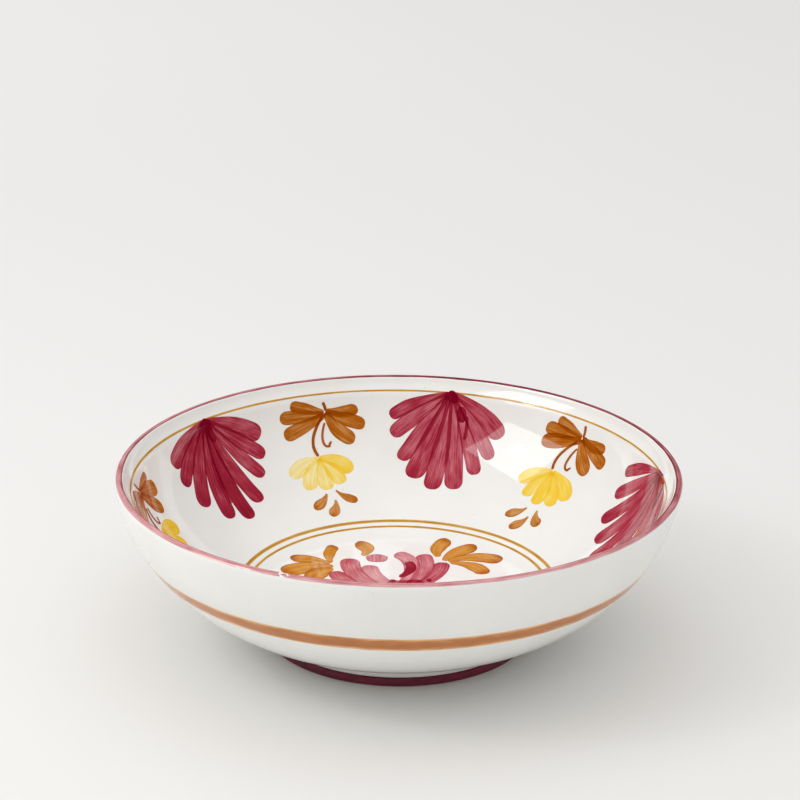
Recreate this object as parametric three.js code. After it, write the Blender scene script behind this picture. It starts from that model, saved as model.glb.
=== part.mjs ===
// A footed serving bowl of glazed earthenware, in millimetres, +Z up.
// The origin is the centre of the face that the foot rests on.
//
// It is made of two clay pieces that are joined leather-hard and fired together:
//   bowl_body  the jiggered bowl: underside, wall, rounded lip and shallow well
//   foot_ring  the turned ring that is luted under the bowl with slip
import * as THREE from 'three';

// Overall size
const RIM_RADIUS = 150; // outermost edge of the lip
const HEIGHT = 93; // from the resting face to the top of the lip
const ROUND_STEPS = 80; // facets round the bowl

// Foot ring
const FOOT_RADIUS = 72.5; // outside of the bead that the ring stands on
const FOOT_WIDTH = 9; // width of the ring at its bead
const FOOT_HEIGHT = 10.5; // from the resting face to the luted joint
const BEAD_HEIGHT = 5.1; // height of the bead
const NECK_DEPTH = 1.8; // how far the neck above the bead is turned in
const FOOT_DRAFT = 1.2; // how far the ring's inner face leans in over its height
const EDGE_ROUND = 0.9; // rounding of the bead's edges
const LUTE_GAP = 0.3; // the film of slip between ring and bowl

// Wall of the bowl
const SEAT_LEDGE = 1.4; // how far the bowl's flat seat runs past the neck
const SPRING_OUT = 25; // pull of the curve where the wall leaves the foot
const SPRING_RISE = 5;
const BELLY_DROP = 51; // how far below the top of the lip the belly's pull lies
const LIP_LEAN = 8.3; // degrees that the wall still leans out at the lip
const LIP_THICKNESS = 4.6;
const LIP_TAPER = 9; // length over which the wall thins to the lip
const WALL_AT_LIP = 7.4;
const WALL_AT_FOOT = 10.4;

// Floor of the bowl, and the underside within the foot
const FLOOR_THICKNESS = 7.5; // at the centre
const FLOOR_PULL = 8; // pull of the curve from the wall into the floor
const CENTRE_PULL = 34; // length that stays nearly level at the centre
const UNDERSIDE_DOME = 1.2; // rise of the underside at the centre
const TOOL_GAP = 3; // flat left between the ring's inside and the dome

const radians = THREE.MathUtils.degToRad;
const point = (radius, height) => new THREE.Vector2(radius, height);

// What the ring and the bowl share at their joint
const neckRadius = FOOT_RADIUS - NECK_DEPTH;
const seatHeight = FOOT_HEIGHT + LUTE_GAP;
const seatRadius = neckRadius + SEAT_LEDGE;
const ringInner = FOOT_RADIUS - FOOT_WIDTH;

function arc(centre, radius, from, to, steps) {
  const points = [];
  for (let i = 0; i <= steps; i++) {
    const angle = radians(from + ((to - from) * i) / steps);
    points.push(point(
      centre.x + radius * Math.cos(angle),
      centre.y + radius * Math.sin(angle),
    ));
  }
  return points;
}

// Turns a closed profile of (radius, height) round the upright axis.
function turned(profile) {
  const geometry = new THREE.LatheGeometry(profile, ROUND_STEPS);
  geometry.rotateX(Math.PI / 2);
  return geometry;
}

// Thickness of the wall, square to its outside, at a share of the way up.
function wallThickness(share, taperShare) {
  const plain = THREE.MathUtils.lerp(WALL_AT_FOOT, WALL_AT_LIP, share);
  const thinned = THREE.MathUtils.smoothstep(share, 1 - taperShare, 1);
  return plain - (WALL_AT_LIP - LIP_THICKNESS) * thinned;
}

function bowlProfile() {
  const lean = radians(LIP_LEAN);
  const lipRadius = LIP_THICKNESS / 2;
  const lipCentre = point(RIM_RADIUS - lipRadius, HEIGHT - lipRadius);
  const lipOuter = point(
    lipCentre.x + lipRadius * Math.cos(lean),
    lipCentre.y - lipRadius * Math.sin(lean),
  );
  const bellyRise = HEIGHT - BELLY_DROP;
  const outer = new THREE.CubicBezierCurve(
    point(seatRadius, seatHeight),
    point(seatRadius + SPRING_OUT, seatHeight + SPRING_RISE),
    point(lipOuter.x - (lipOuter.y - bellyRise) * Math.tan(lean), bellyRise),
    lipOuter,
  );
  const endLength = 3 * outer.v3.distanceTo(outer.v2);
  const taperShare = LIP_TAPER / endLength;

  // The outside, and the inside that stands off it by the wall's thickness
  const wallSteps = 12;
  const outside = [];
  const inside = [];
  for (let i = 0; i <= wallSteps; i++) {
    const share = i / wallSteps;
    const at = outer.getPoint(share);
    const along = outer.getTangent(share);
    const thickness = wallThickness(share, taperShare);
    outside.push(at);
    inside.push(point(at.x - along.y * thickness, at.y + along.x * thickness));
  }

  // The floor leaves the wall in line with it and ends level at the centre.
  const start = inside[0];
  const slope = outer.getTangent(0);
  const floorHeight = seatHeight + UNDERSIDE_DOME + FLOOR_THICKNESS;
  const floor = new THREE.CubicBezierCurve(
    start,
    point(start.x - slope.x * FLOOR_PULL, start.y - slope.y * FLOOR_PULL),
    point(CENTRE_PULL, floorHeight),
    point(0, floorHeight),
  );

  // The underside is a shallow dome inside the ring, then the flat seat.
  const domeRadius = ringInner - FOOT_DRAFT - TOOL_GAP;
  const underside = [];
  const domeSteps = 4;
  for (let i = 0; i <= domeSteps; i++) {
    const share = i / domeSteps;
    const rise = UNDERSIDE_DOME * (1 - share * share);
    underside.push(point(domeRadius * share, seatHeight + rise));
  }

  const lip = [
    lipOuter,
    ...arc(lipCentre, lipRadius, 0, 90, 4),
    ...arc(lipCentre, lipRadius, 90, 180 - LIP_LEAN, 4).slice(1),
  ];
  return [
    ...underside,
    ...outside.slice(0, -1),
    ...lip.slice(0, -1),
    ...inside.slice().reverse(),
    ...floor.getPoints(6).slice(1),
  ];
}

function footProfile() {
  const round = EDGE_ROUND;
  const lower = point(FOOT_RADIUS - round, round);
  const upper = point(FOOT_RADIUS - round, BEAD_HEIGHT - round);
  const heel = point(ringInner + round, round);
  return [
    ...arc(lower, round, -90, 0, 3),
    ...arc(upper, round, 0, 60, 3),
    point(neckRadius, BEAD_HEIGHT + NECK_DEPTH - round),
    point(neckRadius, FOOT_HEIGHT),
    point(ringInner - FOOT_DRAFT, FOOT_HEIGHT),
    ...arc(heel, round, 180, 270, 3),
    point(FOOT_RADIUS - round, 0),
  ];
}

function piece(name, geometry, material) {
  const mesh = new THREE.Mesh(geometry, new THREE.MeshStandardMaterial(material));
  mesh.name = name;
  return mesh;
}

const bowl = new THREE.Group();

bowl.add(piece('bowl_body', turned(bowlProfile()), {
  name: 'clear_glazed_earthenware',
  color: '#f3f2ec',
  roughness: 0.12,
  metalness: 0,
}));

bowl.add(piece('foot_ring', turned(footProfile()), {
  name: 'burgundy_painted_earthenware',
  color: '#5e1224',
  roughness: 0.22,
  metalness: 0,
}));

export default bowl;
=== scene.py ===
import math

import bmesh
import bpy
import numpy as np
from mathutils import Matrix, Vector


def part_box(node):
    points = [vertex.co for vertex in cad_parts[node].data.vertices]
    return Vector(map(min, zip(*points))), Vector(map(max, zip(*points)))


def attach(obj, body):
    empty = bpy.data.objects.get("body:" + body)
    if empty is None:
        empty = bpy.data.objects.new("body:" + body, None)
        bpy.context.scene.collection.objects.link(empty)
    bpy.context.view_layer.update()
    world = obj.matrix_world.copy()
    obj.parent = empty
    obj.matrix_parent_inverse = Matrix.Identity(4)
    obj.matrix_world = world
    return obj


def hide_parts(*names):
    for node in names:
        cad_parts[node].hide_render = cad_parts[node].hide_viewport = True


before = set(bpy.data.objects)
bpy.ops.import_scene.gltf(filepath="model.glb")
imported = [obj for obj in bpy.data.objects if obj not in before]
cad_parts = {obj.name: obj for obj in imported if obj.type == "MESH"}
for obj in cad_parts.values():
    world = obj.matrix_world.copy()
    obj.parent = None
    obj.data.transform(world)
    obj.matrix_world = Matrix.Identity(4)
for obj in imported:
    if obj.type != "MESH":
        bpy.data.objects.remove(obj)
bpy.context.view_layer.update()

# ---- The bowl -----------------------------------------------------------------------
# A jiggered earthenware bowl. Its wall springs from the foot, rises to a plain rounded
# lip, and runs down inside to a shallow well. It is dipped in a clear gloss glaze, which
# lies over the painted colour too, and is fired white. Sizes are in millimetres.

MM = 0.001
low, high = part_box("bowl_body")
RIM_RADIUS = high.x / MM
HEIGHT = high.z / MM
SEAT_HEIGHT = low.z / MM
low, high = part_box("foot_ring")
FOOT_RADIUS = high.x / MM
FOOT_HEIGHT = high.z / MM
NECK_DEPTH = 1.8
SEAT_LEDGE = 1.4
SEAT_RADIUS = FOOT_RADIUS - NECK_DEPTH + SEAT_LEDGE
FOOT_WIDTH = 9.0
RING_INNER = FOOT_RADIUS - FOOT_WIDTH
FOOT_DRAFT = 1.2
SPRING = np.array([25.0, 5.0])
BELLY_DROP = 51.0
BELLY_HEIGHT = HEIGHT - BELLY_DROP
LIP_LEAN = math.radians(8.3)
LIP_THICKNESS = 4.6
LIP_TAPER = 9.0
WALL_AT_LIP = 7.4
WALL_AT_FOOT = 10.4
DOME_RISE = 1.2
TOOL_GAP = 3.0
DOME_RADIUS = RING_INNER - FOOT_DRAFT - TOOL_GAP
FLOOR_THICKNESS = 7.5
FLOOR_HEIGHT = SEAT_HEIGHT + DOME_RISE + FLOOR_THICKNESS
FLOOR_PULL = 8.0
CENTRE_PULL = 34.0
# How finely the turning is cut: round the bowl, up its wall, and along its other curves.
STEPS_ROUND = 240
WALL_POINTS, FLOOR_POINTS, LIP_POINTS, DOME_POINTS, SEAT_POINTS = 110, 60, 27, 30, 8


def bezier(points, share):
    """Points on a curve of any degree, one row for each share from 0 to 1."""
    rows = [np.outer(np.ones_like(share), p) for p in np.asarray(points, float)]
    while len(rows) > 1:
        rows = [a + (b - a) * share[:, None] for a, b in zip(rows, rows[1:])]
    return rows[0]


def smooth(start, end, value):
    """0 before start, 1 after end, eased between them."""
    x = np.clip((value - start) / (end - start), 0, 1)
    return x * x * (3 - 2 * x)


def directions(line):
    """Unit direction of a line of points at each point."""
    d = np.gradient(line, axis=0)
    return d / np.maximum(np.hypot(d[:, 0], d[:, 1]), 1e-9)[:, None]


def arc(centre, radius, start, end, steps):
    """Points on a round stretch, with angles in radians."""
    a = np.linspace(start, end, steps)
    return np.array(centre) + radius * np.stack([np.cos(a), np.sin(a)], -1)


def bowl_lines():
    """Underside, outside, lip and inside of the bowl as (radius, height) points."""
    lip = LIP_THICKNESS / 2
    centre = np.array([RIM_RADIUS - lip, HEIGHT - lip])
    lip_start = centre + lip * np.array([math.cos(LIP_LEAN), -math.sin(LIP_LEAN)])
    belly = lip_start[0] - (lip_start[1] - BELLY_HEIGHT) * math.tan(LIP_LEAN)
    seat = np.array([SEAT_RADIUS, SEAT_HEIGHT])
    pulls = [seat, seat + SPRING, (belly, BELLY_HEIGHT), lip_start]
    share = np.linspace(0, 1, WALL_POINTS)
    outside = bezier(pulls, share)
    along = directions(outside)
    taper = LIP_TAPER / (3 * np.hypot(*(pulls[3] - np.array(pulls[2]))))
    wall = WALL_AT_FOOT + (WALL_AT_LIP - WALL_AT_FOOT) * share
    wall -= (WALL_AT_LIP - LIP_THICKNESS) * smooth(1 - taper, 1, share)
    inside = outside + wall[:, None] * np.stack([-along[:, 1], along[:, 0]], -1)
    pull = inside[0] - along[0] * FLOOR_PULL
    floor = bezier(
        [inside[0], pull, (CENTRE_PULL, FLOOR_HEIGHT), (0, FLOOR_HEIGHT)],
        np.linspace(0, 1, FLOOR_POINTS),
    )
    edge = arc(centre, lip, -LIP_LEAN, math.pi - LIP_LEAN, LIP_POINTS)
    dome = np.linspace(0, 1, DOME_POINTS)
    under = np.stack([DOME_RADIUS * dome, SEAT_HEIGHT + DOME_RISE * (1 - dome**2)], -1)
    return under, outside[:-1], edge[:-1], np.concatenate([inside[::-1], floor[1:]])


under, outside, lip_edge, inside = bowl_lines()

# The painter's line runs from the seat up the outside, over the lip and down to the
# centre of the floor. A place on the bowl is a turn round it and a run along this line:
# runs count from the top of the lip, inwards positive and down the outside negative.
paint_line = np.concatenate([outside, lip_edge, inside])
gaps = np.hypot(*np.diff(paint_line, axis=0).T)
runs = np.concatenate([[0], np.cumsum(gaps)])
LIP_RUN = runs[len(outside) + int(np.argmax(lip_edge[:, 1]))]
runs -= LIP_RUN


def radius_at(run):
    """The bowl's radius at this run."""
    return np.interp(run, runs, paint_line[:, 0])


def run_at_radius(radius):
    """The run inside the bowl at which it has this radius."""
    within = runs > LIP_THICKNESS / 2
    return np.interp(-np.asarray(radius), -paint_line[within, 0], runs[within])


def add(tree, kind, inputs=None, out=0, **settings):
    """Adds a node: its settings, then each input's value or the output that feeds it.
    Returns the output with this number or name."""
    made = tree.nodes.new(kind)
    for name, value in settings.items():
        setattr(made, name, value)
    for socket, value in (inputs or {}).items():
        if isinstance(value, bpy.types.NodeSocket):
            tree.links.new(value, made.inputs[socket])
        else:
            made.inputs[socket].default_value = value
    return made.outputs[out] if made.outputs else None


MATH, SPLIT, PLACE = "ShaderNodeMath", "ShaderNodeSeparateXYZ", "GeometryNodeSetPosition"


def new_tree(name, sockets):
    """A Geometry Nodes tree with these named inputs, and its input node's outputs."""
    tree = bpy.data.node_groups.new(name, "GeometryNodeTree")
    tree.interface.new_socket("Geometry", in_out="OUTPUT", socket_type="NodeSocketGeometry")
    for label, kind in sockets:
        tree.interface.new_socket(label, in_out="INPUT", socket_type=kind)
    return tree, add(tree, "NodeGroupInput").node.outputs


def end_tree(tree, geometry, given):
    """Ends a tree in real geometry that wears the given material."""
    real = add(tree, "GeometryNodeRealizeInstances", {0: geometry})
    worn = add(tree, "GeometryNodeSetMaterial", {"Geometry": real, "Material": given["Material"]})
    add(tree, "NodeGroupOutput", {0: worn})


def swung(tree, place, turn):
    """Swings a place from the XZ plane round the upright axis, to a turn from +Y."""
    swing = {"Vector": place}
    swing["Angle"] = add(tree, MATH, {0: math.pi / 2, 1: turn}, operation="SUBTRACT")
    return add(tree, "ShaderNodeVectorRotate", swing, rotation_type="Z_AXIS")


def turned_tree():
    """Turns an outline in the XZ plane round the upright axis, as a potter's wheel does."""
    tree, given = new_tree("Turned on the wheel", [
        ("Outline", "NodeSocketObject"),
        ("Steps Round", "NodeSocketInt"),
        ("Outline Points", "NodeSocketInt"),
        ("Weld", "NodeSocketFloat"),
        ("Material", "NodeSocketMaterial"),
    ])
    outline = {"Object": given["Outline"]}
    outline = add(tree, "GeometryNodeObjectInfo", outline, "Geometry", transform_space="ORIGINAL")
    here = add(tree, "GeometryNodeInputPosition")
    last = add(tree, MATH, {0: given["Outline Points"], 1: 1.0}, operation="SUBTRACT")
    grid = add(tree, "GeometryNodeMeshGrid", {
        "Size X": 2 * math.pi,
        "Size Y": last,
        "Vertices X": add(tree, MATH, {0: given["Steps Round"], 1: 1.0}, operation="ADD"),
        "Vertices Y": given["Outline Points"],
    })
    # The grid's x is the turn, and its y the place along the outline, from the middle.
    turn, row = (add(tree, SPLIT, {0: here}, axis) for axis in "XY")
    row = add(tree, MATH, {0: last, 1: 0.5, 2: row}, operation="MULTIPLY_ADD")
    point = {"Geometry": outline, "Value": here}
    point["Index"] = add(tree, MATH, {0: row}, operation="ROUND")
    point = add(tree, "GeometryNodeSampleIndex", point, data_type="FLOAT_VECTOR", domain="POINT")
    placed = add(tree, PLACE, {"Geometry": grid, "Position": swung(tree, point, turn)})
    weld = {"Geometry": placed, "Distance": given["Weld"]}
    end_tree(tree, add(tree, "GeometryNodeMergeByDistance", weld), given)
    return tree


def line_object(name, points):
    """A bare line of vertices at (radius, 0, height), in metres."""
    corners = [(r * MM, 0, h * MM) for r, h in points]
    edges = [(i, i + 1) for i in range(len(corners) - 1)]
    mesh = bpy.data.meshes.new(name)
    mesh.from_pydata(corners, edges, [])
    line = bpy.data.objects.new(name, mesh)
    bpy.context.scene.collection.objects.link(line)
    return line


def settle(name, start, tree, values):
    """Runs a tree over a start mesh, and keeps the result as a plain mesh object."""
    holder = bpy.data.objects.new(name, start)
    bpy.context.scene.collection.objects.link(holder)
    made_by = holder.modifiers.new(tree.name, "NODES")
    made_by.node_group = tree
    for item in tree.interface.items_tree:
        if item.in_out == "INPUT" and item.name in values:
            made_by[item.identifier] = values[item.name]
    view = bpy.context.evaluated_depsgraph_get()
    mesh = bpy.data.meshes.new_from_object(holder.evaluated_get(view))
    holder.modifiers.clear()
    holder.data = mesh
    mesh.name = name
    return holder


def face_outwards(piece, corner_angle):
    """Turns faces outwards and shades them smooth, apart from true corners."""
    work = bmesh.new()
    work.from_mesh(piece.data)
    bmesh.ops.recalc_face_normals(work, faces=work.faces)
    work.to_mesh(piece.data)
    work.free()
    piece.data.shade_smooth()
    piece.data.set_sharp_from_angle(angle=math.radians(corner_angle))


TURNED = turned_tree()


def turned(name, outline, material):
    """A piece turned from its outline of (radius, height) points."""
    line = line_object(name + "_outline", outline)
    piece = settle(name, bpy.data.meshes.new(name), TURNED, {
        "Outline": line,
        "Steps Round": STEPS_ROUND,
        "Outline Points": len(outline),
        "Weld": 0.01 * MM,
        "Material": material,
    })
    bpy.data.objects.remove(line)
    face_outwards(piece, corner_angle=60)
    return piece


def colour(code):
    """Linear colour from an sRGB hex code."""
    parts = [int(code[i:i + 2], 16) / 255 for i in (1, 3, 5)]
    linear = [c / 12.92 if c <= 0.04045 else ((c + 0.055) / 1.055) ** 2.4 for c in parts]
    return (*linear, 1.0)


def per_mm(size):
    """Noise scale, per metre, for features this many millimetres across."""
    return 1 / (size * MM)


def new_material(name):
    """A material with its tree, its shader's inputs and its Object coordinates."""
    made = bpy.data.materials.new(name)
    made.use_nodes = True
    tree = made.node_tree
    shader = next(n for n in tree.nodes if n.type == "BSDF_PRINCIPLED")
    return made, tree, shader.inputs, add(tree, "ShaderNodeTexCoord", out="Object")


GLAZE_IOR = 1.52
NOISE, RANGE, MIX, BUMP = (
    "ShaderNodeTexNoise", "ShaderNodeMapRange", "ShaderNodeMix", "ShaderNodeBump",
)


def glaze_swell(tree, place):
    """The orange-peel swell of a gloss glaze, about 9 mm across, that bends reflections."""
    swell = add(tree, NOISE, {"Vector": place, "Scale": per_mm(9), "Detail": 1.0})
    return add(tree, BUMP, {"Strength": 0.1, "Distance": 0.1 * MM, "Height": swell})


def clear_glazed_earthenware():
    """White earthenware under clear gloss glaze. The eye sees a warm white, a little
    greyer where glaze is thick, a few pin-prick specks, and clean mirror reflections
    that an orange-peel swell about 9 mm across barely bends."""
    made, tree, skin, place = new_material("clear_glazed_earthenware")
    cloud = add(tree, NOISE, {"Vector": place, "Scale": per_mm(38), "Detail": 3.0})
    cloud = add(tree, RANGE, {0: cloud, 1: 0.35, 2: 0.7})
    pale, grey, fleck = colour("#F6F6F3"), colour("#F2F2EE"), colour("#B79F86")
    body = add(tree, MIX, {0: cloud, 6: pale, 7: grey}, 2, data_type="RGBA")
    # Iron specks are a tenth of this size; drawn coarser, so that a few just show.
    speck = add(tree, NOISE, {"Vector": place, "Scale": per_mm(1.1), "Detail": 0.0})
    speck = add(tree, RANGE, {0: speck, 1: 0.84, 2: 0.87, 4: 0.35})
    body = add(tree, MIX, {0: speck, 6: body, 7: fleck}, 2, data_type="RGBA")
    wear = add(tree, NOISE, {"Vector": place, "Scale": per_mm(16), "Detail": 4.0})
    wear = add(tree, RANGE, {0: wear, 1: 0.3, 2: 0.75, 3: 0.035, 4: 0.075})
    swell = glaze_swell(tree, place)
    skin["IOR"].default_value = GLAZE_IOR
    for socket, value in (("Base Color", body), ("Roughness", wear), ("Normal", swell)):
        tree.links.new(value, skin[socket])
    return made


bowl_glaze = clear_glazed_earthenware()
seat = np.linspace(DOME_RADIUS, SEAT_RADIUS, SEAT_POINTS)[1:-1]
seat = np.stack([seat, np.full_like(seat, SEAT_HEIGHT)], -1)
bowl = turned(
    "bowl_body_glazed",
    np.concatenate([under, seat, outside[::2], lip_edge[::2], inside[::2], inside[-1:]]),
    bowl_glaze,
)
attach(bowl, "root")
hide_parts("bowl_body")

# ---- The foot ring --------------------------------------------------------------------
# A ring of the same clay, turned with a bead and a neck, and luted under the bowl with
# slip. The glaze covers it except on the face that it rests on, which is wiped bare
# before firing so that it doesn't stick to the kiln shelf.

EDGE_ROUND = 0.9
BEAD_HEIGHT = 5.1
HOLLOW_RISE = 1.6
NECK_RADIUS = FOOT_RADIUS - NECK_DEPTH
TOP_EDGE = 0.2
BARE_HEIGHT = 0.45


def foot_outline():
    """The ring's closed outline: its bead, the hollow over it, the neck, the top, the
    leaning inside and the face that it rests on."""
    r = EDGE_ROUND
    quarter = math.pi / 2
    heel_x = RING_INNER + r
    rest = np.linspace(heel_x, FOOT_RADIUS - r, 8)[1:-1]
    rest = np.stack([rest, np.zeros_like(rest)], -1)
    lower = arc((FOOT_RADIUS - r, r), r, -quarter, 0, 7)
    face = np.array([(FOOT_RADIUS, h) for h in np.linspace(r, BEAD_HEIGHT - r, 6)[1:-1]])
    upper = arc((FOOT_RADIUS - r, BEAD_HEIGHT - r), r, 0, math.radians(60), 6)
    corner, neck_foot = (NECK_RADIUS, BEAD_HEIGHT + 0.2), BEAD_HEIGHT + HOLLOW_RISE
    hollow = bezier([upper[-1], corner, (NECK_RADIUS, neck_foot)], np.linspace(0, 1, 8))[1:]
    neck = [(NECK_RADIUS, h) for h in np.linspace(neck_foot + 0.6, FOOT_HEIGHT - TOP_EDGE, 4)]
    top_inner = RING_INNER - FOOT_DRAFT + TOP_EDGE
    top = [(NECK_RADIUS - TOP_EDGE, FOOT_HEIGHT), (top_inner, FOOT_HEIGHT)]
    inner = [(RING_INNER - FOOT_DRAFT * h, FOOT_HEIGHT * h) for h in np.linspace(0.96, 0.12, 8)]
    heel = arc((heel_x, r), r, math.pi, 3 * quarter, 7)
    parts = [lower, face, upper, hollow, neck, top, inner, heel, rest, lower[:1]]
    return np.concatenate([np.array(p, float).reshape(-1, 2) for p in parts])


def glazed_and_wiped_foot():
    """The foot's white glaze, and its bare biscuit where it was wiped. The eye sees a
    dry, cream, finely gritty face that greys with use, with a crisp glaze line."""
    made, tree, skin, place = new_material("glazed_foot_with_wiped_face")
    height = add(tree, SPLIT, {0: place}, "Z")
    ragged = add(tree, NOISE, {"Vector": place, "Scale": per_mm(7)})
    ragged = add(tree, RANGE, {0: ragged, 3: -0.3 * MM, 4: 0.3 * MM})
    edge = add(tree, MATH, {0: height, 1: ragged}, operation="ADD")
    start, end = (BARE_HEIGHT - 0.1) * MM, (BARE_HEIGHT + 0.1) * MM
    glazed = add(tree, RANGE, {0: edge, 1: start, 2: end})
    # The grit is half this size; drawn coarser, so that it shows from near by.
    grit = add(tree, NOISE, {"Vector": place, "Scale": per_mm(0.6), "Detail": 3.0})
    clay = add(tree, RANGE, {0: grit, 1: 0.3, 2: 0.7})
    cream, buff, grime = colour("#D9CBB2"), colour("#B9A88C"), colour("#8C7F70")
    clay = add(tree, MIX, {0: clay, 6: cream, 7: buff}, 2, data_type="RGBA")
    soiled = add(tree, NOISE, {"Vector": place, "Scale": per_mm(12), "Detail": 4.0})
    soiled = add(tree, RANGE, {0: soiled, 1: 0.5, 2: 0.75, 4: 0.6})
    clay = add(tree, MIX, {0: soiled, 6: clay, 7: grime}, 2, data_type="RGBA")
    body = add(tree, MIX, {0: glazed, 6: clay, 7: colour("#F1F0EA")}, 2, data_type="RGBA")
    dull = add(tree, RANGE, {0: glazed, 3: 0.85, 4: 0.12})
    bare = add(tree, MATH, {0: 1.0, 1: glazed}, operation="SUBTRACT")
    rough = add(tree, MATH, {0: grit, 1: bare}, operation="MULTIPLY")
    rough = add(tree, BUMP, {"Strength": 0.5, "Distance": 0.1 * MM, "Height": rough})
    skin["IOR"].default_value = GLAZE_IOR
    for socket, value in (("Base Color", body), ("Roughness", dull), ("Normal", rough)):
        tree.links.new(value, skin[socket])
    return made


foot_glaze = glazed_and_wiped_foot()
foot = turned("foot_ring_glazed", foot_outline(), foot_glaze)
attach(foot, "root")
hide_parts("foot_ring")

# ---- Banding: the lines drawn while the bowl turns --------------------------------------
# Underglaze colour, laid with a loaded brush held still against the turning bowl: the
# lip, a fine line under it, two lines round the well, a broad band outside and the foot.
# Each is a thin film of pigment with slightly unsteady edges, fused to the bowl.

# A film's top and bottom, measured from the clay's face, and the step between layers.
FILM_TOP, FILM_BOTTOM, LAYER = 0.045, -0.09, 0.02
rng = np.random.default_rng(41)


def wrap_tree():
    """Lays a flat sheet on the bowl: x is the turn in radians, y the run along the
    painter's line and z the height over the surface, both in metres."""
    tree, given = new_tree("Laid on the bowl", [
        ("Geometry", "NodeSocketGeometry"),
        ("Painter's Line", "NodeSocketObject"),
        ("Lip Run", "NodeSocketFloat"),
        ("Material", "NodeSocketMaterial"),
    ])
    line = {"Object": given["Painter's Line"]}
    line = add(tree, "GeometryNodeObjectInfo", line, "Geometry", transform_space="ORIGINAL")
    curve = add(tree, "GeometryNodeMeshToCurve", {"Mesh": line})
    here = add(tree, "GeometryNodeInputPosition")
    turn, run, lift = (add(tree, SPLIT, {0: here}, axis) for axis in "XYZ")
    run = add(tree, MATH, {0: run, 1: given["Lip Run"]}, operation="ADD")
    at = add(
        tree,
        "GeometryNodeSampleCurve",
        {"Curves": curve, "Length": run},
        "Position",
        mode="LENGTH",
        use_all_curves=True,
    )
    along = at.node.outputs["Tangent"]
    vector = "ShaderNodeVectorMath"
    out = add(tree, vector, {0: (0.0, 1.0, 0.0), 1: along}, operation="CROSS_PRODUCT")
    out = add(tree, vector, {0: out, "Scale": lift}, operation="SCALE")
    place = add(tree, vector, {0: at, 1: out}, operation="ADD")
    laid = {"Geometry": given["Geometry"], "Position": swung(tree, place, turn)}
    end_tree(tree, add(tree, PLACE, laid), given)
    return tree


WRAP = wrap_tree()
painters_line = line_object("painters_line", paint_line)


def sheet_mesh(name, films):
    """One mesh of closed films. Each film has grids of turn, run, lift and load, and of
    the brush's own place across and along it; a ring film joins its last row to its first."""
    corners, faces, loads, bristles = [], [], [], []
    for film in films:
        rows, columns = film["turn"].shape
        start = len(corners)
        for lift in (film["lift"], np.full((rows, columns), FILM_BOTTOM)):
            flat = np.stack([film["turn"], film["run"] * MM, lift * MM], -1)
            corners.extend(flat.reshape(-1, 3))
            loads.append(film["load"].ravel())
            bristles.append(film["bristle"].reshape(-1, 3))
        top = start + np.arange(rows * columns).reshape(rows, columns)
        under = top + rows * columns
        if film.get("ring"):
            top = np.concatenate([top, top[:1]])
            under = np.concatenate([under, under[:1]])

        def quads(a, b, c, d):
            """Faces between four grids of corners."""
            faces.extend(np.stack([a.ravel(), b.ravel(), c.ravel(), d.ravel()], -1).tolist())

        quads(top[:-1, :-1], top[1:, :-1], top[1:, 1:], top[:-1, 1:])
        quads(under[:-1, :-1], under[:-1, 1:], under[1:, 1:], under[1:, :-1])
        for side, other in ((top[:, 0], under[:, 0]), (under[:, -1], top[:, -1])):
            quads(side[:-1], other[:-1], other[1:], side[1:])
        if not film.get("ring"):
            for side, other in ((under[0], top[0]), (top[-1], under[-1])):
                quads(side[:-1], other[:-1], other[1:], side[1:])
    mesh = bpy.data.meshes.new(name)
    mesh.from_pydata(corners, [], faces)
    mesh.attributes.new("load", "FLOAT", "POINT").data.foreach_set("value", np.concatenate(loads))
    made = mesh.attributes.new("bristle", "FLOAT_VECTOR", "POINT")
    made.data.foreach_set("vector", np.concatenate(bristles).ravel())
    return mesh


def painted(name, films, material):
    """Lays films on the bowl as one piece of paintwork under its clear glaze."""
    piece = settle(name, sheet_mesh(name, films), WRAP, {
        "Painter's Line": painters_line,
        "Lip Run": LIP_RUN * MM,
        "Material": material,
    })
    face_outwards(piece, corner_angle=40)
    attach(piece, "root")
    return piece


def waver(turns, size, slowest=1, quickest=9):
    """A slow unsteadiness round the bowl that closes on itself."""
    total = np.zeros_like(turns)
    for waves in range(slowest, quickest):
        total += rng.normal() * np.sin(waves * turns + rng.uniform(0, 6.3)) / waves**0.7
    return size * total / max(1.0, np.abs(total).max())


def band(start, end, unsteady, load, steps=720, across=9, tilt=(0.0, 0.0), uneven=0.1):
    """A closed ring film between two runs. load is its pigment from start to end, and
    tilt a lean in millimetres and the turn that it leans to."""
    turns = np.linspace(0, 2 * math.pi, steps, endpoint=False)
    lean = tilt[0] * np.sin(turns - tilt[1])
    first = start + lean + waver(turns, unsteady) + waver(turns, unsteady / 3, 20, 60)
    last = end + lean + waver(turns, unsteady) + waver(turns, unsteady / 3, 20, 60)
    share = np.linspace(0, 1, across)
    run = first[:, None] + (last - first)[:, None] * share
    turn = np.repeat(turns[:, None], across, 1)
    radius = radius_at((start + end) / 2)
    pigment = np.interp(share, np.linspace(0, 1, len(load)), load)
    pigment = pigment + waver(turns, uneven, 1, 30)[:, None]
    lift = np.full(run.shape, FILM_TOP)
    bristle = np.stack([run, turn * radius, np.full(run.shape, rng.uniform(0, 90))], -1)
    return dict(turn=turn, run=run, lift=lift, load=pigment, bristle=bristle, ring=True)


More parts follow.
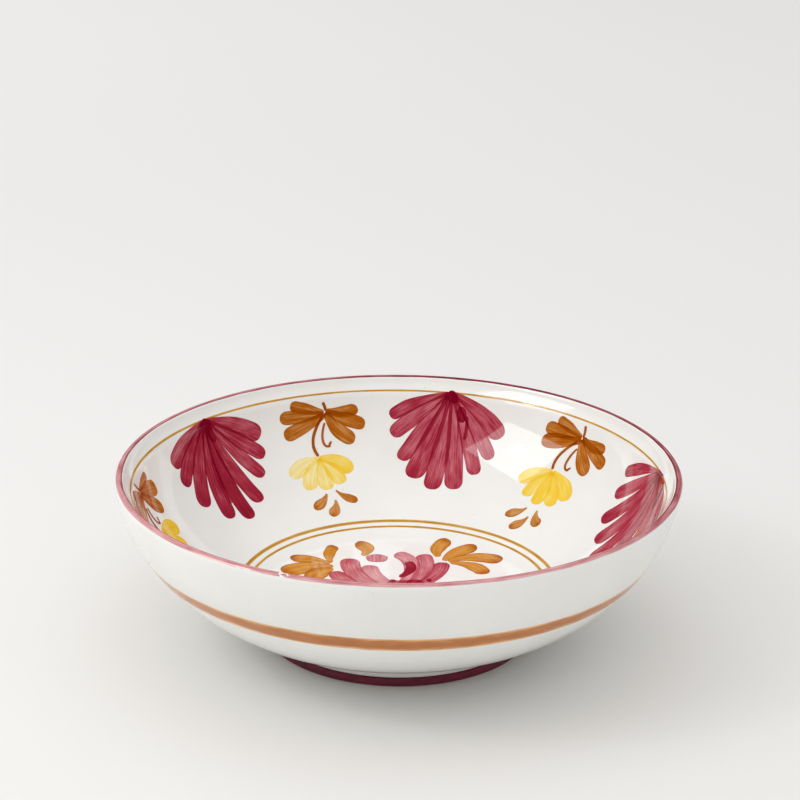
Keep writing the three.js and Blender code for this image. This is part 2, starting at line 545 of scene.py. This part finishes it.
def underglaze(name, thin, plain, thick, streak=0.3, hair=0.55, mottle=0.12):
    """Painted underglaze colour. The eye sees brush hairs as streaks along the stroke,
    deeper colour where strokes cross or pool, and the same wet gloss as the glaze.
    hair is a streak's width in millimetres; streaks are 25 mm long, and washes of
    deeper and paler colour about 3 by 11 mm."""
    made, tree, skin, place = new_material(name)
    load = add(tree, "ShaderNodeAttribute", attribute_name="load", out="Fac")
    brush = add(tree, "ShaderNodeAttribute", attribute_name="bristle", out="Vector")
    drawn = add(tree, "ShaderNodeMapping", {"Vector": brush, "Scale": (1 / hair, 0.04, 1.0)})
    hairs = add(tree, NOISE, {"Vector": drawn, "Scale": 1.0, "Detail": 3.0, "Roughness": 0.7})
    hairs = add(tree, RANGE, {0: hairs, 1: 0.32, 2: 0.68, 3: -streak / 2, 4: streak / 2})
    drawn = add(tree, "ShaderNodeMapping", {"Vector": brush, "Scale": (0.3, 0.09, 1.0)})
    washes = add(tree, NOISE, {"Vector": drawn, "Scale": 1.0, "Detail": 2.0})
    washes = add(tree, RANGE, {0: washes, 1: 0.3, 2: 0.7, 3: -mottle, 4: mottle})
    load = add(tree, MATH, {0: load, 1: hairs}, operation="ADD")
    load = add(tree, MATH, {0: load, 1: washes}, operation="ADD")
    ramp = add(tree, "ShaderNodeValToRGB", {0: load})
    steps = ramp.node.color_ramp.elements
    steps[0].position, steps[0].color = 0.0, colour(thin)
    steps[1].position, steps[1].color = 1.0, colour(thick)
    steps.new(0.5).color = colour(plain)
    skin["Roughness"].default_value = 0.06
    skin["IOR"].default_value = GLAZE_IOR
    for socket, value in (("Base Color", ramp), ("Normal", glaze_swell(tree, place))):
        tree.links.new(value, skin[socket])
    return made


mauve = underglaze("mauve_banding_colour", "#E8B8B8", "#C67F84", "#85303A", streak=0.8, hair=0.3)
ochre = underglaze("ochre_banding_colour", "#E6C78A", "#CB963A", "#A5701E", streak=0.35, hair=0.3)
tan = underglaze("tan_banding_colour", "#F6C98A", "#C4762F", "#AE5E1A", streak=0.3, hair=0.5)

LIP_START, LIP_END, LIP_WAVER = -2.2, 1.5, 0.3
LIP_LOAD = (0.05, 0.3, 0.4, 0.3, 0.55, 1.0)
# How much deeper the colour is at the far right, and the turn there in radians.
FAR_DEPTH, FAR_TURN = 0.4, 0.9
# The skip's turn, its length, how soft its edge is, and how deep the film sinks in it.
SKIP_TURN = math.radians(-158.5)
SKIP_LENGTH, SKIP_EDGE, SKIP_SINK = 6.5, 0.4, 0.04


def lip_film():
    """The lip's colour: deeper at the far right, and crawled off the lip at one skip."""
    film = band(LIP_START, LIP_END, LIP_WAVER, LIP_LOAD, steps=1800, across=15, uneven=0.16)
    run, turn = film["run"], film["turn"]
    film["load"] = film["load"] + FAR_DEPTH * smooth(-0.3, 1.0, np.cos(turn - FAR_TURN))
    along = ((turn - SKIP_TURN + math.pi) % (2 * math.pi) - math.pi) * RIM_RADIUS
    # Crossing ripples a few millimetres long make the skip's ends ragged and leave flecks
    # in it; where the colour is missing, its film sinks under the bowl's own face.
    ragged = 0.9 * np.sin(run * 2.9 + 1) + 0.8 * np.sin(along * 1.7 + run * 3.1)
    half = SKIP_LENGTH / 2
    bare = smooth(half + SKIP_EDGE, half - SKIP_EDGE, np.abs(along) + ragged)
    flecks = np.sin(along * 1.5 + 1.3 * np.sin(run * 1.9)) + np.sin(run * 2.1 + 1)
    film["lift"] = film["lift"] - (FILM_TOP + SKIP_SINK) * bare * smooth(-0.5, 0.2, flecks)
    return film


painted("lip_band", [lip_film()], mauve)
UPPER_START, UPPER_END, FINE_WAVER = 9.4, 10.6, 0.14
UPPER_TILT = (0.35, math.radians(12))
upper = band(UPPER_START, UPPER_END, FINE_WAVER, (0.2, 0.65, 0.3), tilt=UPPER_TILT)
painted("upper_line", [upper], ochre)
# Each well line's radius, its width, and how loaded the brush was.
WELL_LINES = ((85.9, 2.2, 0.7), (81.6, 1.7, 0.8))
for number, (radius, width, load) in enumerate(WELL_LINES, 1):
    run = run_at_radius(radius)
    line = band(run - width / 2, run + width / 2, FINE_WAVER, (0.2, load, 0.25))
    painted(f"well_line_{number}", [line], ochre)


def run_outside(height):
    """The run down the outside at which the bowl has this height."""
    return np.interp(height, outside[:, 1], runs[:len(outside)])


BROAD_LOW, BROAD_HIGH, BROAD_LOAD = 50.8, 59.5, (0.0, 0.5, 0.62, 0.6, 0.5, 0.0)
broad = band(run_outside(BROAD_LOW), run_outside(BROAD_HIGH), 0.3, BROAD_LOAD, across=17)
painted("outside_band", [broad], tan)

burgundy = underglaze("burgundy_banding_colour", "#8C2440", "#661028", "#450818", streak=0.5)


def bead_film():
    """The bead's film, which follows the ring from just over its wiped face to the neck."""
    bead = foot_outline()
    height = bead[:, 1]
    painted_part = (height > 0.3) & (height < BEAD_HEIGHT + 0.15) & (bead[:, 0] > NECK_RADIUS)
    bead = bead[painted_part]
    bead = bead[np.argsort(bead[:, 1])]
    way = directions(bead)
    out = np.stack([way[:, 1], -way[:, 0]], -1)
    film = np.concatenate([bead + out * FILM_TOP, (bead + out * FILM_BOTTOM)[::-1]])
    return np.concatenate([film, film[:1]])


foot_paint = turned("foot_band", bead_film(), burgundy)
places = np.array([v.co for v in foot_paint.data.vertices]) / MM
turn = np.arctan2(places[:, 0], places[:, 1])
load = 0.5 + 0.12 * np.sin(5 * turn + 1) * np.sin(2 * turn)
foot_paint.data.attributes.new("load", "FLOAT", "POINT").data.foreach_set("value", load)
made = foot_paint.data.attributes.new("bristle", "FLOAT_VECTOR", "POINT")
bristle = np.stack([places[:, 2], np.abs(turn) * FOOT_RADIUS, np.zeros_like(turn)], -1)
made.data.foreach_set("vector", bristle.ravel())
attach(foot_paint, "root")

# ---- Brush strokes: how every flower, leaf and drop is laid ------------------------------
# One stroke is one touch of a round brush: it lands thin, swells as the brush is pressed,
# and ends round where it is lifted. Colour is deeper where a stroke crosses an earlier one.

STROKE_ROWS = 72
END_SQUARENESS = 2.3


def stroke(path, width, start=0.3, fullest=0.7, blunt=0.5, load=0.45, pool=0.1, across=19):
    """A stroke on flat paper, in millimetres. path is the brush's way, start its width
    where it lands as a share, fullest where it is widest, blunt the length of its round
    end as a share of its width, load its pigment, and pool how much more lies at its
    edges and its end."""
    share = np.linspace(0, 1, STROKE_ROWS)
    # Rows crowd at both ends, so that they come out round.
    share = 0.35 * share + 0.65 * (0.5 - 0.5 * np.cos(math.pi * share))
    line = bezier(path, share)
    length = np.hypot(*np.diff(line, axis=0).T).sum()
    size = start + (1 - start) * smooth(0, fullest, share)
    end = min(0.5, blunt * width / length)
    rise = min(0.4, max(0.02, 0.5 * start * width / length))
    tip = np.clip((share - (1 - end)) / end, 0, 1)
    heel = np.clip((rise - share) / rise, 0, 1)
    size = size * (1 - tip**END_SQUARENESS) ** (1 / END_SQUARENESS) * np.sqrt(1 - heel**2)
    size = size * (1 + 0.03 * np.sin(share * rng.uniform(7, 12) + rng.uniform(0, 6)))
    half = np.maximum(0.5 * width * size, 0.02)
    way = directions(line)
    side = np.stack([-way[:, 1], way[:, 0]], -1)
    v = np.linspace(-1, 1, across)
    spots = line[:, None] + side[:, None] * (half[:, None] * v)[..., None]
    shade = load + pool * (smooth(0.72, 1.0, share)[:, None] + 0.7 * smooth(0.7, 1.0, np.abs(v)))
    shade = shade + rng.normal(0, 0.03)
    number = rng.uniform(0, 500)
    bristle = np.stack([
        half[:, None] * v + number,
        np.repeat(share[:, None] * length, across, 1),
        np.full((STROKE_ROWS, across), number * 0.37),
    ], -1)
    return dict(line=line, half=half, spots=spots, load=shade, bristle=bristle)


def covered(points, other, soft=0.3):
    """How far points lie under another stroke, from 0 to 1."""
    gap = np.hypot(*(points[:, None] - other["line"][None]).transpose(2, 0, 1))
    reach = (other["half"][None] - gap).max(1)
    return smooth(-soft, soft, reach)


def films_of(strokes, laid_at, deepen=0.4):
    """Turns flat strokes into films, each a layer over the last and deeper over others.
    laid_at gives the turn and the run of flat points."""
    films = []
    for order, one in enumerate(strokes):
        shape = one["spots"].shape[:2]
        flat = one["spots"].reshape(-1, 2)
        load = one["load"].copy()
        for other in strokes[:order]:
            load += deepen * covered(flat, other).reshape(shape)
        turn, run = laid_at(flat)
        films.append(dict(
            turn=turn.reshape(shape),
            run=run.reshape(shape),
            lift=np.full(shape, FILM_TOP + LAYER * (order + 1)),
            load=np.clip(load, 0, 1.1),
            bristle=one["bristle"],
        ))
    return films


def on_wall(turn_degrees):
    """Places flat work on the inner wall: x across from this turn, y the run."""
    def laid_at(flat):
        """The turn and the run of flat points."""
        return math.radians(turn_degrees) + flat[:, 0] / radius_at(flat[:, 1]), flat[:, 1]
    return laid_at


def on_floor(flat):
    """Places flat work on the floor: x to the right and y away, from the centre."""
    return np.arctan2(flat[:, 0], flat[:, 1]), run_at_radius(np.hypot(flat[:, 0], flat[:, 1]))


# ---- Crimson flowers on the wall ---------------------------------------------------------
# Five open flowers hang from the upper line, each nine petals pulled outwards and down
# from one point with a full round brush, so that they crowd and darken where they start.

crimson = underglaze("crimson_underglaze", "#DC8A94", "#AA2E42", "#7E0422", streak=0.36, hair=0.4)
FLOWER_RUN = 9.5
# The outer petals are pulled first and the middle ones last, over them.
PETAL_ORDER = (0, 8, 1, 7, 2, 6, 3, 5, 4)
# For the turn at which each flower hangs, in degrees: each petal's tip across and down the
# wall, its width, and how loaded the brush was.
FLOWERS = {
    -51.6: [
        (-36.5, 26, 10.5, 0.5), (-34, 38.5, 10, 0.52), (-27.5, 54.5, 11.5, 0.5),
        (-14.5, 68, 10.5, 0.6), (-1.5, 73.5, 10, 0.66), (12.5, 66, 10, 0.5),
        (25, 51.5, 9, 0.44), (32.5, 40, 10, 0.42), (35.5, 28, 11.5, 0.42),
    ],
    12.4: [
        (-35, 25.5, 8, 0.45), (-33, 36.5, 10, 0.42), (-25.5, 52, 9.5, 0.4),
        (-17, 63.5, 12, 0.42), (-4.5, 70.5, 11, 0.36), (8.5, 69, 11, 0.36),
        (20, 57.5, 9, 0.34), (28, 46.5, 9, 0.38), (32.5, 33, 11.5, 0.42),
    ],
    84.0: [
        (-39, 26, 7.5, 0.42), (-35, 39.5, 9, 0.4), (-27, 55.5, 10, 0.4),
        (-14, 66, 11, 0.45), (0, 74, 10, 0.5), (13, 65, 10, 0.46),
        (24, 50, 9.5, 0.42), (32, 39, 10, 0.42), (35, 27, 11, 0.42),
    ],
}
# Short darker touches over the petals: the way of the brush, its width and its load.
KNOTS = {
    -51.6: [
        ([(-0.5, 9), (1, 14), (3, 24)], 5, 0.4),
        ([(2.5, 28), (3.5, 48), (1.5, 68)], 3, 0.42),
        ([(-3.5, 32), (-5, 46), (-8, 60)], 4, 0.4),
    ],
    12.4: [
        ([(-1, 9), (1, 12), (3, 16)], 5, 0.5),
        ([(5, 18.5), (8.5, 21), (7, 27)], 5.5, 0.5),
        ([(10.5, 23), (11.5, 30), (10.5, 37)], 2, 0.4),
    ],
    84.0: [
        ([(-5, 13), (-3, 18)], 5.5, 0.5),
        ([(12, 10.5), (11.5, 15), (13, 26)], 3.5, 0.5),
    ],
}
# Two more flowers are painted like two of these, with a hand's small differences.
for other, like in ((156.0, 12.4), (-128.0, -51.6)):
    FLOWERS[other] = [
        (x + rng.normal(0, 1.2), run + rng.normal(0, 1.2), width + rng.normal(0, 0.6), load)
        for x, run, width, load in FLOWERS[like]
    ]
    KNOTS[other] = KNOTS[like]


def crimson_flower(tips, knots):
    """Nine petals from one point, the outermost pair bowed upwards, and their knots."""
    strokes = []
    for i in PETAL_ORDER:
        x, run, width, load = tips[i]
        lean = i / 4 - 1
        base = (1.2 * lean, FLOWER_RUN + 1.2 * abs(lean))
        bow = 0.08 * (abs(lean) == 1)
        middle = ((0.55 + bow) * x + 1.2 * lean, FLOWER_RUN + (0.5 - bow) * (run - FLOWER_RUN))
        path = [base, middle, (x, run)]
        strokes.append(stroke(path, width, 0.36, 0.72, blunt=0.6, load=load, pool=0.12))
    for path, width, load in knots:
        strokes.append(stroke(path, width, start=0.75, fullest=0.3, load=load))
    return strokes


for number, turn_degrees in enumerate(sorted(FLOWERS), 1):
    flower = crimson_flower(FLOWERS[turn_degrees], KNOTS[turn_degrees])
    films = films_of(flower, on_wall(turn_degrees), deepen=0.36)
    painted(f"crimson_flower_{number}", films, crimson)

# ---- Leaf sprigs, yellow flowers and drops -------------------------------------------------
# Between the crimson flowers hangs a brown sprig of two three-lobed leaves. A bent stem
# joins it to a small yellow flower, with three falling drops under that.

# The way of the brush across and down the wall, and its width.
LEAVES = {
    "left_top": ([(0, 21), (-10, 18), (-20.5, 14.5)], 7),
    "left_middle": ([(0, 22), (-14, 22), (-28, 21)], 8),
    "left_low": ([(0, 22.5), (-12, 28), (-26.5, 32)], 8.5),
    "right_top": ([(1, 20), (8, 23), (20.5, 20)], 7),
    "right_middle": ([(1, 20.5), (12, 26), (23.5, 30)], 8.5),
    "right_low": ([(1, 21), (5, 33), (16, 39)], 9.5),
}
STEMS = {
    "bud": ([(1, 20), (1, 17), (-0.3, 15)], 1.8),
    "bent": ([(-1, 23), (-8, 31), (-12, 39), (-7.5, 46.5)], 1.8),
    "hook": ([(-0.3, 27), (-4, 34), (-4.5, 43), (1, 41)], 1.4),
    "dot": ([(0.4, 39.2), (1.6, 40)], 3),
}
# Each yellow petal's way and width, and how loaded the brush was.
YELLOW = [
    ([(-7.5, 48), (-17, 49), (-27, 56.5)], 10, 0.18),
    ([(-7.5, 48), (-16, 56), (-17, 67)], 9.5, 0.22),
    ([(-7.5, 48), (-7, 58), (-6.5, 68.5)], 9.5, 0.28),
    ([(-7.5, 48), (0, 56), (3, 65.5)], 9.5, 0.34),
    ([(-7.5, 48), (4, 49), (10, 58.5)], 10.5, 0.42),
]
DROPS = [
    ([(-8, 71), (-10, 76), (-18, 80)], 6.5),
    ([(-4, 76), (-3.5, 82), (-9.5, 87)], 6.5),
    ([(-2, 69.5), (1.5, 75.5), (9, 78)], 5.8),
]
# Each sprig is painted freehand, so that no two kinds are quite alike.
FIRST = dict(leaves=LEAVES, stems=STEMS, yellow=YELLOW, drops=DROPS)
SECOND = dict(
    leaves={
        "left_top": ([(0, 20), (-10, 17), (-19.5, 14)], 6.5),
        "left_middle": ([(0, 21), (-13, 21), (-26.5, 20)], 8),
        "left_low": ([(0, 22), (-12, 26), (-26.5, 28.5)], 9),
        "right_top": ([(1, 20), (8, 24), (20.5, 21)], 7),
        "right_middle": ([(1, 20.5), (12, 26), (24, 30)], 8.5),
        "right_low": ([(1, 21), (3, 32), (13.5, 38.5)], 9.5),
    },
    stems={
        "bud": ([(1, 20), (1.5, 16), (0.5, 13)], 1.7),
        "bent": ([(-2, 23), (-9, 29), (-14, 36), (-11, 43)], 1.7),
        "hook": ([(-0.5, 27), (-5, 33), (-5.5, 42), (-0.5, 40.5)], 1.4),
        "dot": ([(-0.9, 39.2), (0.1, 40)], 3),
    },
    yellow=[
        ([(-10, 44.5), (-19, 46.5), (-28, 55)], 9.5, 0.42),
        ([(-10, 44.5), (-18, 53), (-17.5, 63.5)], 8.5, 0.5),
        ([(-10, 44.5), (-9, 55), (-8.5, 66.5)], 8.5, 0.56),
        ([(-10, 44.5), (-1, 54), (1, 64.5)], 8.5, 0.52),
        ([(-10, 44.5), (2, 47.5), (9.5, 57.5)], 10, 0.5),
    ],
    drops=[
        ([(-11, 70), (-13, 75), (-20.5, 78)], 6.5),
        ([(-6, 75), (-6, 81), (-11.5, 86)], 6.8),
        ([(-3.5, 69.5), (-2, 76), (4.5, 78)], 6.5),
    ],
)
THIRD = dict(
    leaves={
        **LEAVES,
        "right_top": ([(0.5, 19), (9, 19), (20, 17)], 5.5),
        "right_middle": ([(0.5, 20), (12, 24), (25, 27)], 10),
        "right_low": ([(0.5, 21), (8, 31), (18, 38)], 9.5),
    },
    stems={
        "bud": ([(0.5, 19), (-2, 16), (-5.5, 12.5)], 1.8),
        "bent": ([(-4, 28), (-9, 34), (-9, 39), (-6.5, 45)], 1.8),
        "hook": ([(-1.5, 29), (-3, 35), (-2, 42), (2, 40)], 1.4),
        "dot": ([(2, 38.2), (3, 38.8)], 3),
    },
    yellow=[
        ([(-6, 45), (-17, 46), (-25, 54)], 10.5, 0.5),
        ([(-6, 45), (-14, 54), (-15, 64)], 9.5, 0.55),
        ([(-6, 45), (-5, 56), (-4.5, 66)], 9.5, 0.6),
        ([(-6, 45), (2, 53), (6, 61)], 9.5, 0.66),
        ([(-6, 45), (6, 44), (15, 52)], 10, 0.66),
    ],
    drops=DROPS,
)
# The turn at which each sprig hangs, in degrees.
SPRIGS = ((-166.0, FIRST), (-89.0, THIRD), (-18.8, FIRST), (48.9, SECOND), (121.0, THIRD))
# How each kind of stroke is pressed, and how loaded its brush is.
LOBE = dict(start=0.46, fullest=0.66, blunt=0.6, load=0.44)
STALK = dict(start=0.85, fullest=0.4, load=0.68, across=7)
PETAL = dict(start=0.36, fullest=0.66, blunt=0.6)
DROP = dict(start=0.2, fullest=0.75, blunt=0.6, load=0.3, pool=0.2)

leaf_brown = underglaze("brown_underglaze", "#DFB070", "#B66410", "#923A00", streak=0.4, hair=0.6)
yellow = underglaze("yellow_underglaze", "#FAF0BC", "#F8D450", "#F2BC1C", hair=0.9)
for number, (turn_degrees, sprig) in enumerate(SPRIGS, 1):
    wall = on_wall(turn_degrees)
    leaves = [stroke(path, width, **LOBE) for path, width in sprig["leaves"].values()]
    leaves += [stroke(path, width, **STALK) for path, width in sprig["stems"].values()]
    painted(f"leaf_sprig_{number}", films_of(leaves, wall, deepen=0.36), leaf_brown)
    petals = [stroke(path, width, load=load, **PETAL) for path, width, load in sprig["yellow"]]
    painted(f"yellow_flower_{number}", films_of(petals, wall, deepen=0.2), yellow)
    drops = [stroke(path, width, **DROP) for path, width in sprig["drops"]]
    painted(f"falling_drops_{number}", films_of(drops, wall, deepen=0.2), leaf_brown)

# ---- The posy on the floor -----------------------------------------------------------------
# One open pink flower in curled petals, seen from above in the well, with sprays of
# amber leaves at each side and a stem below.

# The way of the brush, right and away from the centre, its width and its load.
POSY_PETALS = (
    ([(-12, 6), (-30, 8), (-35, 28)], 10, 0.4),
    ([(-10, 8), (-28, 22), (-27, 45)], 11, 0.36),
    ([(-3, 10), (-16, 22), (-16, 36.5)], 9.5, 0.3),
    ([(8, 8), (24, 22), (24.5, 41)], 9, 0.44),
    ([(6, 10), (20, 32), (13.5, 51.5)], 9.5, 0.38),
    ([(2, 10), (15, 42), (-1.5, 52.5)], 9.5, 0.3),
    ([(1, 21), (11, 32), (5, 41.5)], 5.8, 0.85),
    ([(-6, 14), (2, 10), (14, 15)], 9.0, 0.5),
    ([(-10, 9), (-25, 3), (-37, -9)], 10, 0.42),
    ([(10, 9), (24, 4), (36, -8)], 10, 0.42),
)
# A pale dab beyond the petals, and two small dark dots at their feet.
POSY_DAB = [(-12, 51), (-12, 41)]
POSY_DOTS = ([(-5, 15.5), (-1, 15.5)], [(15.5, 17), (18.5, 17)])
POSY_SPRAYS = (
    ([(-37.5, 39), (-41, 50), (-36, 60)], 7),
    ([(-20, 49), (-14, 59), (-24, 65)], 9.5),
    ([(-38, 38), (-49, 46), (-60, 40)], 8),
    ([(-36, 34), (-52, 35), (-63, 23)], 14),
    ([(-36, 31), (-46, 27), (-47, 16)], 13),
    ([(22.5, 48.5), (19.5, 60), (28.5, 68.5)], 9.5),
    ([(26, 43), (30, 56), (44.5, 58.5)], 10),
    ([(28, 42.5), (43, 52), (57.5, 40.5)], 10),
    ([(29, 41), (45, 38), (47.5, 25.5)], 9.5),
    ([(3, -18), (20, -22), (34, -38)], 10),
    ([(-2, -18), (-20, -24), (-36, -36)], 10),
    ([(3, -32), (16, -40), (18, -56)], 9),
    ([(-3, -32), (-16, -42), (-20, -56)], 9),
)
POSY_STEM = [(0, 10), (2, -12), (-3, -34), (1, -60)]

posy_pink = underglaze("pink_underglaze", "#E2ABAE", "#BE5664", "#920A2A", streak=0.5, hair=0.45)
CURLED = dict(start=0.7, fullest=0.5, blunt=0.55, pool=0.14)
petals = [stroke(path, width, load=load, **CURLED) for path, width, load in POSY_PETALS]
petals.append(stroke(POSY_DAB, 12, start=0.85, fullest=0.4, blunt=0.4, load=0.36))
petals += [stroke(path, 4, start=0.8, fullest=0.4, load=0.9) for path in POSY_DOTS]
painted("posy_flower", films_of(petals, on_floor, deepen=0.3), posy_pink)

amber = underglaze("amber_underglaze", "#E2B06A", "#CC8526", "#A9560A", streak=0.4, hair=0.6)
SPRAY = dict(start=0.4, fullest=0.6, blunt=0.6, load=0.4, pool=0.5)
sprays = [stroke(path, width, **SPRAY) for path, width in POSY_SPRAYS]
sprays.append(stroke(POSY_STEM, 2.2, start=0.8, fullest=0.3, load=0.55, across=9))
painted("posy_leaves", films_of(sprays, on_floor, deepen=0.3), amber)
bpy.data.objects.remove(painters_line)

# ---- Floor, light and camera -----------------------------------------------------------------
# A wide floor of pale paper in a white room, one softbox high at the left, a light on the
# paper behind, and a long lens.

HALF_WIDTH, NEAR, FAR = 9, -6, 14
corners = [(x, y, 0) for x, y in (
    (-HALF_WIDTH, NEAR), (HALF_WIDTH, NEAR), (HALF_WIDTH, FAR), (-HALF_WIDTH, FAR),
)]
sweep = bpy.data.meshes.new("studio_floor")
sweep.from_pydata(corners, [], [(0, 1, 2, 3)])
floor = bpy.data.objects.new("studio_floor", sweep)
bpy.context.scene.collection.objects.link(floor)
paper, tree, skin, place = new_material("matt_paper_sweep")
skin["Base Color"].default_value = colour("#E9E8E6")
skin["Roughness"].default_value = 0.75
floor.data.materials.append(paper)

# A white room, dimmer near the floor than overhead. It lights the bowl but isn't mirrored
# in the glaze, which shows only the softbox, its lamp and the paper.
world = bpy.data.worlds.new("studio")
world.use_nodes = True
tree = world.node_tree
height = add(tree, "ShaderNodeTexCoord", out="Object")
height = add(tree, SPLIT, {0: height}, "Z")
WALLS, CEILING = 0.58, 1.38
height = add(tree, MATH, {0: height, 1: height}, operation="MULTIPLY")
room = add(tree, RANGE, {0: height, 1: 0.0, 2: 1.0, 3: WALLS, 4: CEILING})
background = next(n for n in tree.nodes if n.type == "BACKGROUND").inputs
background["Color"].default_value = colour("#FCFCFC")
tree.links.new(room, background["Strength"])
world.cycles_visibility.glossy = False
bpy.context.scene.world = world


def softbox(name, place, aim, shape, size, power, lights=True, shows=True):
    """A soft light. lights is whether it lights surfaces, and shows is whether it is
    mirrored in the glaze."""
    lamp = bpy.data.lights.new(name, "AREA")
    lamp.shape = shape
    lamp.size, lamp.size_y = size
    lamp.energy = power
    lamp.color = (1.0, 0.998, 0.99)
    made = bpy.data.objects.new(name, lamp)
    facing = (Vector(aim) - Vector(place)).to_track_quat("-Z", "Y").to_matrix().to_4x4()
    made.matrix_world = Matrix.Translation(place) @ facing
    made.visible_diffuse, made.visible_glossy = lights, shows
    bpy.context.scene.collection.objects.link(made)


BOWL, FACE = (0, 0, 0.05), (0.88, 0.86)
KEY = (-1.106, -0.381, 1.09)
softbox("key_softbox", KEY, BOWL, "RECTANGLE", FACE, 4.5, shows=False)
# The softbox's face as the glaze mirrors it, and the lamp head that glows through it;
# each stands a centimetre nearer, so that none hides another.
SHEEN, HEAD = (-1.095, -0.377, 1.08), (-1.084, -0.373, 1.069)
softbox("key_sheen", SHEEN, BOWL, "RECTANGLE", FACE, 9, lights=False)
softbox("key_lamp_head", HEAD, BOWL, "DISK", (0.2, 0.2), 1.2)
BEHIND, PAPER = (-0.9, 1.8, 1.2), (-0.6, 1.8, 0)
softbox("background_light", BEHIND, PAPER, "RECTANGLE", (0.8, 0.8), 2.4, shows=False)

lens = bpy.data.cameras.new("camera")
lens.sensor_width = 36
lens.lens = 102.76
camera = bpy.data.objects.new("camera", lens)
STAND, PITCH, ROLL = (0.00015, -1.1275, 0.5419), math.radians(20.02), math.radians(0.53)
camera.matrix_world = (
    Matrix.Translation(STAND)
    @ Matrix.Rotation(math.pi / 2 - PITCH, 4, "X")
    @ Matrix.Rotation(ROLL, 4, "Z")
)
bpy.context.scene.collection.objects.link(camera)
bpy.context.scene.camera = camera
bpy.context.scene.view_settings.view_transform = "Standard"
